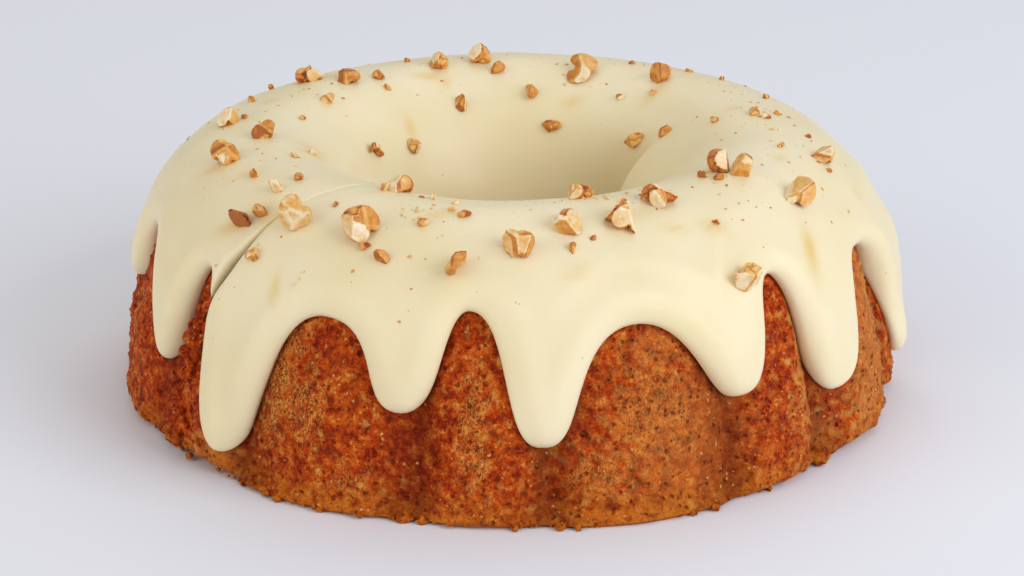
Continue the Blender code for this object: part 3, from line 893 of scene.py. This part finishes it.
def make_icing(material):
    """The wall's sheet and the crown's joined at the wall's top, and an inner side under both."""
    places, pushes, faces, top_row, edge_tree, side_tree = wall_sheet()
    wall = len(places)
    on_wall = (places[:, 0] / mm_per_degree(BAND_RADIUS), places[:, 1], nearest_in(edge_tree, places),
               nearest_in(side_tree, places), np.full(wall, NO_EDGE))

    crown_b, crown_v, crown_hole = crown_sheet()
    rows, columns = crown_b.shape
    crown_side = np.minimum(crown_b - crown_b[:, :1], crown_b[:, -1:] - crown_b)
    crown_side = crown_side * degree_at(crown_v) * CUT_SQUARE_SHARE
    unrolled = flat(crown_b, crown_v)
    near = unrolled[..., 1] < v_of_t(t_at_height(BAND_TOP)) + 25
    crown_edge = np.full((rows, columns), NO_EDGE)
    crown_edge[near] = nearest_in(edge_tree, unrolled[near])
    sign = np.where(np.arange(columns) < columns / 2, 1.0, -1.0)
    side_push = np.where(crown_side < LIP_REACH, sign, 0.0)
    hole_push = np.where(crown_hole < LIP_REACH, -1.0, 0.0)
    crown_push = np.stack([side_push, hole_push], axis=-1)
    on_crown = (crown_b, crown_v, crown_edge, crown_side, crown_hole)
    bearing, v, edge, side, hole = (
        np.concatenate([below, above[1:].ravel()]) for below, above in zip(on_wall, on_crown))
    pushes = np.vstack([pushes, crown_push[1:].reshape(-1, 2)])
    index = np.vstack([np.array(top_row), wall + np.arange((rows - 1) * columns).reshape(rows - 1, columns)])
    quads = np.stack([index[:-1, :-1], index[:-1, 1:], index[1:, 1:], index[1:, :-1]], axis=-1).reshape(-1, 4)

    t = t_of_v(v)
    total = len(v)
    outer = icing_surface(bearing, v, edge, side, hole)
    shift = LIP_UNDER * np.clip(1 - np.minimum(np.minimum(edge, side), hole) / LIP_REACH, 0, 1)

    def under(amount, depth):
        """Places at a depth over the crust, moved inward by an amount."""
        b, t = bearing + pushes[:, 0] * amount / degree_at(v), t_of_v(v + pushes[:, 1] * amount)
        return in_space(b, crust_points(b, t) + section_normal(t) * depth)

    skin, rim = closed_skin(faces + [tuple(quad) for quad in quads.tolist()], total)
    everything = np.vstack([outer, under(shift, -0.35), under(shift * 0.25, 0.6)[rim]])
    icing = new_piece("icing_coat", everything, skin)
    # Painted shade deep in the hole, behind the fold of icing.
    behind_fold = smooth_step(108, 120, bearing) * (1 - smooth_step(140, 185, bearing))
    painted_hole_shade = smooth_step(CROWN + 1.4, CROWN + 3.0, t) * 0.38 * behind_fold
    for name, shade in (("smear", smears_at(outer)), ("painted_hole_shade", painted_hole_shade)):
        set_shade(icing.data, name, np.concatenate([shade, np.zeros(len(everything) - total)]))
    dress(icing, [material], ["icing"])
    return icing


# ---------------------------------------------------------------- the knife cut and crumbs

TORN_MM = 0.7
# Where the cut tore wider on its back side: height, how much deeper and how tall.
NOTCHES = ((24.0, 3.2, 3.5), (55.0, 2.0, 4.0), (38.0, 1.4, 3.0))
# How far the slab that cuts reaches out from the middle, and how high it reaches along its lean.
SLAB_REACH = 170
SLAB_TOP = 100
# Bigger crumbs at the bottom edge: bearing and size.
EDGE_CRUMBS = (
    (-14.5, 3.6), (-12, 2.8), (0.5, 2.6), (6.5, 3), (8.8, 2.2), (28, 3.2), (50, 5.2), (51.6, 3), (84, 3.6),
    (-33, 2.4), (38, 2.2), (131, 4), (176, 3), (219, 3.6), (262, 2.8),
)
# Torn crumb that the knife pulled out beside the cut: bearing, height, how wide and tall it is, how many.
TORN_CLUMPS = ((-52.8, 36.0, 5.0, 9.0, 44), (-55.4, 12.0, 7.0, 8.5, 60))


def tear_crust(crust):
    """Cuts the crumb along the knife's plane with a slab whose faces are torn, wider at three notches."""
    deselect_all()
    bpy.ops.mesh.primitive_cube_add(size=1)
    slab = bpy.context.object
    bpy.ops.object.mode_set(mode="EDIT")
    bpy.ops.mesh.select_all(action="SELECT")
    bpy.ops.mesh.subdivide(number_cuts=63)
    bpy.ops.object.mode_set(mode="OBJECT")
    places = places_of(slab.data) * MM
    low = CUT_STOPS_AT - CUT_CROSSES_AXIS_AT
    reach = (places[:, 0] + 0.5) * SLAB_REACH
    up = low + (places[:, 2] + 0.5) * (SLAB_TOP - low)
    side = np.sign(places[:, 1]) * (np.abs(places[:, 1]) > 0.49)
    wide = CUT_WIDTH / 2 + 0.25 * smooth_step(100, 128, reach)
    wide = wide + TORN_MM * np.clip(waves(np.stack([reach, up, 7.3 * side], axis=1), 4.0), -0.6, 1)
    for height, deep, tall in NOTCHES:
        near = hump(up, (height - CUT_CROSSES_AXIS_AT) / CUT_LEAN_COS, tall) * smooth_step(112, 124, reach)
        wide = wide + deep * near * (side < 0)
    thick = np.where(side != 0, side * wide, places[:, 1] * CUT_WIDTH)
    local = np.stack([reach, thick, up], axis=1)
    set_places(slab.data, local @ np.array(CUT_TURN).T + np.array([0, 0, CUT_CROSSES_AXIS_AT]))
    apply_modifier(crust, "BOOLEAN", operation="DIFFERENCE", solver="MANIFOLD", object=slab)
    bpy.data.objects.remove(slab)


def add_crumb(size, rough, seed, subdivisions, centre, floor):
    """A crumb: a ball with bumps of a third of its size, flattened where it would sink through the floor."""
    ball, places = add_ball(subdivisions, 1)
    offset = Vector((seed * 1.7, seed * 3.1, seed * 0.9))
    bumps = np.array([noise.noise(Vector(p) * 1.6 + offset) + 0.5 * noise.noise(Vector(p) * 4 + offset)
                      for p in places])
    places = places * (1 + rough * bumps)[:, None] * size / 2 + centre
    places[:, 2] = np.maximum(places[:, 2], floor)
    set_places(ball.data, places)
    return ball


def make_torn_clumps(material):
    chance = np.random.default_rng(33)
    parts = []
    for bearing, height, wide, tall, number in TORN_CLUMPS:
        for _ in range(number):
            angle, out = chance.uniform(0, 2 * math.pi), math.sqrt(chance.random())
            b = bearing + out * math.cos(angle) * wide / mm_per_degree(BAND_RADIUS)
            radius, z = crust_point_at(b, height + out * math.sin(angle) * tall)
            size = chance.uniform(2.4, 4.6)
            stretch = size * chance.uniform(0.8, 1.2, 3)
            centre = in_space(b, (radius + (chance.uniform(-0.5, 3.2) - 0.2 * size), z))
            parts.append(add_crumb(stretch, 0.5, len(parts) + 60, 2, centre, 0.05))
    clumps = join_pieces("torn_clumps", parts)
    apply_modifier(clumps, "REMESH", mode="VOXEL", voxel_size=0.5 * MM)
    places = places_of(clumps.data)
    rough = waves(places, 1.6) + 0.6 * waves(places, 0.8)
    places = places + of_points(clumps.data, "normal") * (0.5 * rough)[:, None]
    places[:, 2] = np.maximum(places[:, 2], 0.02)
    set_places(clumps.data, places)
    # Darker in the clump's hollows: painted shade.
    set_shade(clumps.data, "pore", np.clip(-rough, 0, 1))
    clumps.data.shade_smooth()
    dress(clumps, [material])


def make_crumbs(material):
    """Torn crumb that sticks out of the cut, and crumbs along the bottom edge."""
    chance = np.random.default_rng(21)
    crumbs = []
    for height in np.linspace(3, 50, 26):
        if abs(height - 25) < 2.5:
            continue
        point = crust_point_at(-55.0, height)
        size = chance.uniform(1.6, 4.2)
        bearing = float(cut_bearing(point)) + chance.uniform(0.3, 1.6)
        crumbs.append((bearing, point[0] - 0.1 * size, height, size))
    for _ in range(90):
        bearing = chance.uniform(-180, 180) if chance.random() < 0.45 else chance.uniform(-60, 65)
        size = 0.7 + 1.5 * chance.random() ** 2.5
        height = chance.uniform(0.45, 0.9) * size + 0.15
        crumbs.append((bearing, crust_point_at(bearing, max(0.3, height))[0] + 0.1 * size, height, size))
    for bearing, size in EDGE_CRUMBS:
        crumbs.append((bearing, crust_point_at(bearing, 1.0)[0] + 0.25 * size, 0.4 * size, size))
    parts = []
    for seed, (bearing, radius, height, size) in enumerate(crumbs):
        stretch = size * chance.uniform(0.75, 1.25, 3)
        centre = in_space(bearing, (radius, height))
        crumb = add_crumb(stretch, 0.45, seed + 3, 3 if size > 1.8 else 2, centre, 0.02)
        set_shade(crumb.data, "pore", np.full(len(crumb.data.vertices), chance.uniform(-0.5, 0.3)))
        parts.append(crumb)
    crumbs = join_pieces("torn_crumbs", parts)
    crumbs.data.shade_smooth()
    dress(crumbs, [material])


# ---------------------------------------------------------------- walnuts

# How each walnut piece looks, in the order of the frame's nodes: skin tone and flesh tone from 0, pale, to 1,
# dark; the way its broken side faces, in degrees from the right through the back; share that is broken; lobes
# of kernel; its size against its CAD box; and how far it lies from it, to the right and back.
WALNUT_LOOKS = (
    (0.42, 0.1, 305, 0.6, 2, (1.05, 1, 1.3), (1.4, 1.2)), (0.08, 0.3, 280, 0.75, 3, (1.1, 1, 1.2), (0.3, 0)),
    (0.9, 0.95, 10, 0.5, 1, (0.85, 0.9, 1.45), (0.2, 0)), (0.5, 0.08, 265, 0.55, 3, (1, 1, 1.35), (0.3, 0)),
    (0.3, 0.26, 230, 0.55, 2, (0.95, 0.9, 1.25), (0.2, 1.6)),
    (0.3, 0.1, 100, 0.55, 2, (0.72, 1.15, 1.35), (-0.4, 0.5)),
    (0.42, 0.1, 275, 0.8, 2, (1.05, 1, 1.25), (-0.3, 1.4)),
    (0.35, 0.08, 250, 0.85, 3, (0.95, 1, 1.4), (-0.1, 0.4)),
    (0.42, 0.08, 310, 0.5, 3, (1, 1, 1.15), (0.1, 0.2)),
    (0.5, 0.1, 255, 0.55, 3, (1.05, 0.95, 1.2), (-0.2, 0.3)),
    (0.55, 0.12, 330, 0.35, 2, (0.95, 1, 1.25), (0, 0.6)),
    (0.48, 0.35, 240, 0.35, 1, (0.95, 1, 1.3), (-2, 0.8)),
    (0.55, 0.08, 265, 0.55, 3, (1.05, 1, 1.2), (-1.6, 0.6)),
    (0.62, 0.25, 230, 0.35, 2, (1, 1, 1.2), (0.2, 0.3)),
    (0.1, 0.12, 300, 0.6, 2, (1.05, 1, 1.15), (-2.4, 1.9)), (0.36, 0.14, 235, 0.5, 2, (1, 1, 1.15), (0, 0)),
    (0.02, 0.16, 265, 0.9, 3, (1.05, 1, 0.9), (-1.2, 0)), (0.32, 0.12, 290, 0.5, 2, (1, 1, 1.15), (0, 0)),
    (0.22, 0.18, 250, 0.55, 2, (1, 1, 1.15), (0, 0)), (0.6, 0.4, 270, 0.35, 2, (1, 1, 1.15), (0, 0)),
    (0.4, 0.18, 320, 0.5, 3, (1, 1, 1.15), (0, 0)), (0.46, 0.12, 300, 0.5, 2, (1, 1, 1.2), (0.6, -0.3)),
    (0.08, 0.36, 250, 0.5, 2, (1, 1, 1.2), (0.6, 0.6)),
    (0.12, 0.1, 280, 0.75, 3, (1.05, 1, 1.25), (0.6, 0.4)),
)
# Smaller bits of walnut: bearing, radius, size, skin tone, share that is broken.
WALNUT_BITS = (
    (-47, 103, 5.6, 0.3, 0.6), (-176, 71, 6, 0.45, 0.5), (-162, 56, 7, 0.3, 0.6), (173, 59, 7, 0.25, 0.6),
    (164, 50, 7, 0.5, 0.5), (125, 51, 6.4, 0.25, 0.7), (112, 55, 5.3, 0.6, 0.3), (-114, 50, 7, 0.55, 0.6),
    (-137, 48, 6.5, 0.2, 0.7), (-118, 70, 5, 0.5, 0.4), (-142, 74, 4.8, 0.45, 0.4),
    (-43, 113, 5.4, 0.12, 0.7), (-59, 92, 4, 0.55, 0.3), (-50, 85, 4.2, 0.62, 0.2), (-50, 93, 6, 0.15, 0.7),
    (-66, 74, 3.6, 0.6, 0.5), (-73, 66, 3, 0.3, 0.7), (-24, 105, 4, 0.68, 0.2),
    (-20.5, 107.5, 5.4, 0.42, 0.4), (-9, 88, 4.6, 0.62, 0.3), (-12, 85, 2.8, 0.3, 0.6),
    (-16, 94, 4.4, 0.4, 0.6), (10, 103, 3.8, 0.6, 0.4), (49, 78, 3.2, 0.7, 0.3), (143, 62, 3.2, 0.45, 0.4),
    (134, 67, 2.8, 0.45, 0.4), (137, 90, 3, 0.4, 0.5), (129, 93, 2.6, 0.55, 0.4), (99, 81, 4.6, 0.3, 0.6),
    (96, 84, 3.4, 0.35, 0.5), (100, 89, 2.9, 0.55, 0.4), (113, 93, 2.6, 0.6, 0.4), (88, 96, 2.6, 0.55, 0.4),
    (77, 88, 2.8, 0.6, 0.4), (100, 68, 3, 0.55, 0.4), (37, 102, 2.8, 0.65, 0.3), (75, 104, 2.6, 0.5, 0.4),
    (-124, 99, 3, 0.55, 0.4), (-111, 93, 3.2, 0.6, 0.4), (-101, 70, 3, 0.45, 0.5), (-141, 67, 3.4, 0.4, 0.5),
    (150, 84, 2.4, 0.5, 0.4), (-155, 86, 2.6, 0.5, 0.4), (-97, 88, 2.4, 0.6, 0.3), (-31, 74, 3.8, 0.25, 0.8),
    (-18, 76, 3.2, 0.1, 0.8), (-12, 79, 2.8, 0.1, 0.8), (50, 83, 3.6, 0.7, 0.3), (23, 90, 2.6, 0.1, 0.8),
    (14, 100, 2.4, 0.55, 0.4), (29, 83, 2.8, 0.12, 0.8), (-35, 92, 2.4, 0.6, 0.3),
)
NUT_VOXEL = 0.35
BIT_VOXEL = 0.28
KERNEL_VOXEL = 0.035
NUT_SUNK = 0.8
FOLD_WIDTH = 0.08
DUST = 90
# Where the finest bits lie thicker: bearing, radius, spread, number, share of pale ones, size.
DUST_GROUPS = (
    (-19.6, 88, 4, 30, 0.95, 1.7), (-33, 115, 2, 9, 1, 1.2), (18, 75, 3.5, 22, 0.9, 1.8),
    (2, 78, 6, 16, 0.7, 1), (24, 80, 6, 18, 0.6, 1.2), (31, 82, 5, 12, 0.6, 1), (49, 84, 5, 18, 0.4, 1.2),
    (63, 98, 8, 14, 0.5, 1), (44, 100, 9, 14, 0.5, 1), (80, 92, 8, 22, 0.6, 1.4), (100, 84, 7, 22, 0.6, 1.4),
    (117, 90, 8, 20, 0.5, 1.3), (160, 74, 8, 16, 0.7, 1.2), (-160, 76, 8, 14, 0.6, 1),
    (-120, 88, 9, 12, 0.5, 1), (-70, 92, 8, 14, 0.6, 1), (-44, 100, 6, 12, 0.5, 1),
    (-10, 104, 8, 10, 0.6, 0.9), (230, 84, 8, 14, 0.5, 1), (262, 88, 8, 12, 0.5, 1),
)


def kernel(lobes, chance):
    """A piece of kernel before it breaks: one to three lobes grown together, about 1 across."""
    parts = []
    for number in range(lobes):
        lobe, places = add_ball(3, 0.5)
        turn = Matrix.Rotation(chance.uniform(0, math.pi), 3, "Z")
        turn = turn @ Matrix.Rotation(chance.uniform(-0.5, 0.5), 3, "X")
        stretch = np.array([1.05, 0.85, 0.8] if lobes == 1 else [chance.uniform(0.8, 1.1), 0.52, 0.58])
        away = turn @ Vector((0, (number - (lobes - 1) / 2) * 0.36, 0))
        set_places(lobe.data, (places * stretch @ np.array(turn).T + np.array(away)) / MM)
        parts.append(lobe)
    whole = join_pieces("kernel", parts)
    apply_modifier(whole, "REMESH", mode="VOXEL", voxel_size=KERNEL_VOXEL)
    return whole


def break_planes(toward, broken_share, chance):
    """Flat breaks round a piece, as (direction, distance from its middle): most face the broken side."""
    angle = math.radians(toward)
    broken = Vector((math.cos(angle), math.sin(angle), 0.45))
    planes = [(Vector((0, 0, -1)), 0.30)]
    for number in range(2 + int(round(6 * broken_share))):
        jitter = Vector((chance.uniform(-1, 1), chance.uniform(-1, 1), chance.uniform(-0.5, 0.8)))
        close = number < 1 + 4 * broken_share
        direction = (broken + jitter * 0.85 if close else jitter).normalized()
        planes.append((direction, chance.uniform(0.10, 0.24) if close else chance.uniform(0.24, 0.36)))
    return planes


def broken_nut(size, looks, seed, voxel, materials):
    """A broken piece of kernel that fills a size: chopped lobes, folded on the skin, ragged on the breaks."""
    tone, flesh_tone, toward, broken_share, lobes = looks
    chance = np.random.default_rng(100 + seed)
    nut = kernel(lobes, chance)
    planes = break_planes(toward, broken_share, chance)
    bpy.ops.object.mode_set(mode="EDIT")
    for direction, distance in planes:
        bpy.ops.mesh.select_all(action="SELECT")
        bpy.ops.mesh.bisect(plane_co=direction * distance, plane_no=direction, use_fill=True, clear_outer=True)
    bpy.ops.object.mode_set(mode="OBJECT")
    unit = places_of(nut.data) * MM
    low, high = unit.min(axis=0), unit.max(axis=0)
    stretch = np.array(size) / (high - low)
    middle = (low + high) / 2
    set_places(nut.data, (unit - middle) * stretch)
    apply_modifier(nut, "REMESH", mode="VOXEL", voxel_size=voxel * MM)
    places = places_of(nut.data)
    unit = places / stretch + middle
    gaps = np.array([distance - unit @ np.array(direction) for direction, distance in planes]) * min(stretch)
    nearest, facet = gaps.min(axis=0), gaps.argmin(axis=0)
    second = np.sort(gaps, axis=0)[1]
    offset = Vector((seed * 5.3, seed * 1.9, seed * 2.7))
    wide, small = waves(places, 2.3, offset), waves(places, 0.9, -offset)
    fold = hump(wide, 0, FOLD_WIDTH)
    flesh = nearest + 0.25 * small < 0.4
    push = np.where(flesh, 0.22 * wide + 0.16 * small, -0.5 * fold + 0.2 * np.abs(wide) + 0.08 * small)
    push = push * min(1.0, min(size) / 5.0)
    # The skin is painted darker in its folds as shade and lighter on the bulges between them, and darker in a
    # band along each break.
    skin_shade = tone + 0.28 * fold + 0.22 * hump(nearest, 0.6, 0.3) - 0.25 * np.abs(wide)
    # Each break has its own tone; along the edge between two breaks it is paler on about three breaks in five, a
    # painted highlight on the rim, and darker on the rest.
    facet_tones = chance.choice((-0.06, 0.03, 0.12, 0.26, 0.5), len(planes), p=(0.2, 0.2, 0.2, 0.22, 0.18))
    edge_tones = chance.choice((-0.18, 0.4), len(planes), p=(0.6, 0.4))
    flesh_shade = flesh_tone + facet_tones[facet] + 0.12 * wide + edge_tones[facet] * (second < 0.4)
    places = places + of_points(nut.data, "normal") * push[:, None]
    is_flesh = [sum(flesh[k] for k in face.vertices) * 2 > len(face.vertices) for face in nut.data.polygons]
    for material in materials:
        nut.data.materials.append(material)
    nut.data.polygons.foreach_set("material_index", np.array(is_flesh, np.int32))
    set_shade(nut.data, "tone", np.where(flesh, flesh_shade, skin_shade))
    nut.data.shade_smooth()
    return nut, places, chance


def drop_on(bvh, x, y):
    """The place on the icing under (x, y), and which way the icing faces there."""
    spot, normal, _, _ = bvh.ray_cast(Vector((x, y, 200)) * MM, Vector((0, 0, -1)))
    return spot, normal


def seat(nut, places, bvh, place, height, turned, chance):
    """Lays a piece on the icing, square to it and sunk a little into it."""
    spot, normal = drop_on(bvh, place[0], place[1])
    normal = (normal + Vector((0, 0, 0.35))).normalized()
    if turned:
        turn = normal.to_track_quat("Z", "Y").to_matrix()
        turn = turn @ Matrix.Rotation(chance.uniform(0, 2 * math.pi), 3, "Z")
    else:
        # Only leans over: its own right stays to the right.
        turn = Vector((0, 0, 1)).rotation_difference(normal).to_matrix()
    places = places @ np.array(turn).T
    upright = places @ np.array(normal)
    centre = np.array(spot) / MM - np.array(normal) * (upright.min() + NUT_SUNK * min(1.0, height / 5))
    set_places(nut.data, places + centre)


def make_walnuts(bvh, materials):
    names = sorted(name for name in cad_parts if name.startswith("walnut_"))
    parts = []
    for number, (name, looks) in enumerate(zip(names, WALNUT_LOOKS)):
        low, high = (np.array(corner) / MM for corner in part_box(name))
        size = (high - low) * np.array(looks[5])
        nut, places, chance = broken_nut(size, looks[:5], number + 1, NUT_VOXEL, materials)
        seat(nut, places, bvh, (low + high)[:2] / 2 + np.array(looks[6]), size[2], False, chance)
        parts.append(nut)
    dress(join_pieces("walnut_pieces", parts), replaced=names)
    bits = []
    for number, (bearing, radius, length, tone, share) in enumerate(WALNUT_BITS):
        chance = np.random.default_rng(500 + number)
        size = length * np.array([1.0, chance.uniform(0.6, 0.9), chance.uniform(0.5, 0.8)])
        looks = (0.7 * tone, 0.6 * tone, chance.uniform(0, 360), share, 1 + number % 2)
        voxel = NUT_VOXEL if length > 4 else BIT_VOXEL
        bit, places, chance = broken_nut(size, looks, 300 + number, voxel, materials)
        seat(bit, places, bvh, in_space(bearing, (radius, 0)), size[2], True, chance)
        bits.append(bit)
    dress(join_pieces("walnut_bits", bits))


def make_dust(bvh, materials):
    """The finest of the chopped walnut: flakes of 0.4 to 2.4 mm, thick in groups and thin between."""
    chance = np.random.default_rng(77)
    ball, shape = add_ball(1, 0.5)
    ball_faces = [tuple(face.vertices) for face in ball.data.polygons]
    bpy.data.objects.remove(ball)
    flakes = [(chance.uniform(-180, 180), chance.uniform(60, 114), 0.5, 1.0) for _ in range(DUST)]
    for bearing, radius, spread, count, pale, large in DUST_GROUPS:
        for _ in range(count):
            b = bearing + chance.normal(0, spread) / mm_per_degree(radius)
            flakes.append((b, radius + chance.normal(0, spread), pale, large))
    points, faces, tones, whites = [], [], [], []
    for bearing, radius, pale, large in flakes:
        x, y, _ = in_space(bearing, (radius, 0))
        spot, normal = drop_on(bvh, x, y)
        if spot is None:
            continue
        length = 0.4 + 1.1 * large * chance.random() ** 2.0
        turn = normal.to_track_quat("Z", "Y").to_matrix() @ Matrix.Rotation(chance.uniform(0, 6.3), 3, "Z")
        flake = shape * (1 + chance.uniform(-0.35, 0.35, len(shape)))[:, None]
        flake = flake * length * np.array([1.0, chance.uniform(0.45, 0.8), chance.uniform(0.3, 0.6)])
        faces += [tuple(k + len(points) * len(shape) for k in face) for face in ball_faces]
        points.append(flake @ np.array(turn).T + (np.array(spot) / MM + np.array(normal) * 0.08 * length))
        white = chance.random() < pale
        whites += [white] * len(ball_faces)
        tones += [chance.uniform(0.0, 0.4) if white else chance.uniform(0.1, 0.6)] * len(shape)
    dust = new_piece("walnut_dust", np.vstack(points), faces)
    dress(dust, materials)
    dust.data.polygons.foreach_set("material_index", np.array(whites, np.int32))
    set_shade(dust.data, "tone", tones)


# ---------------------------------------------------------------- scene

def add_camera():
    e = math.radians(CAMERA_ELEVATION)
    bpy.ops.object.camera_add(location=AIM + CAMERA_DISTANCE * Vector((0, -math.cos(e), math.sin(e))),
                              rotation=(math.pi / 2 - e, 0, 0))
    camera = bpy.context.object
    camera.name = "camera"
    camera.data.lens = CAMERA_LENS_MM
    camera.data.sensor_width = 36
    bpy.context.scene.camera = camera


def add_light(name, bearing, elevation, distance, size, power, colour):
    """A soft square light that looks at the cake."""
    a, e = math.radians(bearing), math.radians(elevation)
    toward = Vector((math.sin(a) * math.cos(e), -math.cos(a) * math.cos(e), math.sin(e)))
    bpy.ops.object.light_add(type="AREA", location=toward * distance + Vector((0, 0, 0.04)),
                             rotation=toward.to_track_quat("Z", "Y").to_euler())
    light = bpy.context.object
    light.name = name
    light.data.size = size
    light.data.energy = power
    light.data.color = linear(colour)[:3]


def set_the_stage():
    bpy.ops.mesh.primitive_plane_add(size=12)
    floor = bpy.context.object
    floor.name = "floor"
    material, tree, shader = new_material("pale_cloth")
    set_inputs(tree, shader, {"Base Color": "#eff2fb", "Roughness": 0.9})
    floor.data.materials.append(material)
    world = bpy.data.worlds.new("soft_room")
    bpy.context.scene.world = world
    world.use_nodes = True
    set_inputs(world.node_tree, world.node_tree.nodes["Background"], {"Color": "#f3f3f4", "Strength": 0.53})
    add_light("window", 54, 26, 1.6, 1.2, 14.2, "#f8f9ff")
    add_light("reflector", -58, 22, 1.8, 1.5, 8.8, "#fff4de")
    add_light("far_window", 165, 48, 2.2, 1.8, 8, "#ffffff")


bpy.context.scene.view_settings.view_transform = "Standard"
set_the_stage()
add_camera()
crust_look = crust_material()
crust = make_crust(crust_look, tree_of(wall_outline()[0]))
tear_crust(crust)
make_crumbs(crust_look)
make_torn_clumps(crust_look)
icing = make_icing(icing_material())
icing_tree = BVHTree.FromObject(icing, bpy.context.evaluated_depsgraph_get())
walnut_looks = (walnut_skin_material(), walnut_flesh_material())
make_walnuts(icing_tree, walnut_looks)
make_dust(icing_tree, walnut_looks)
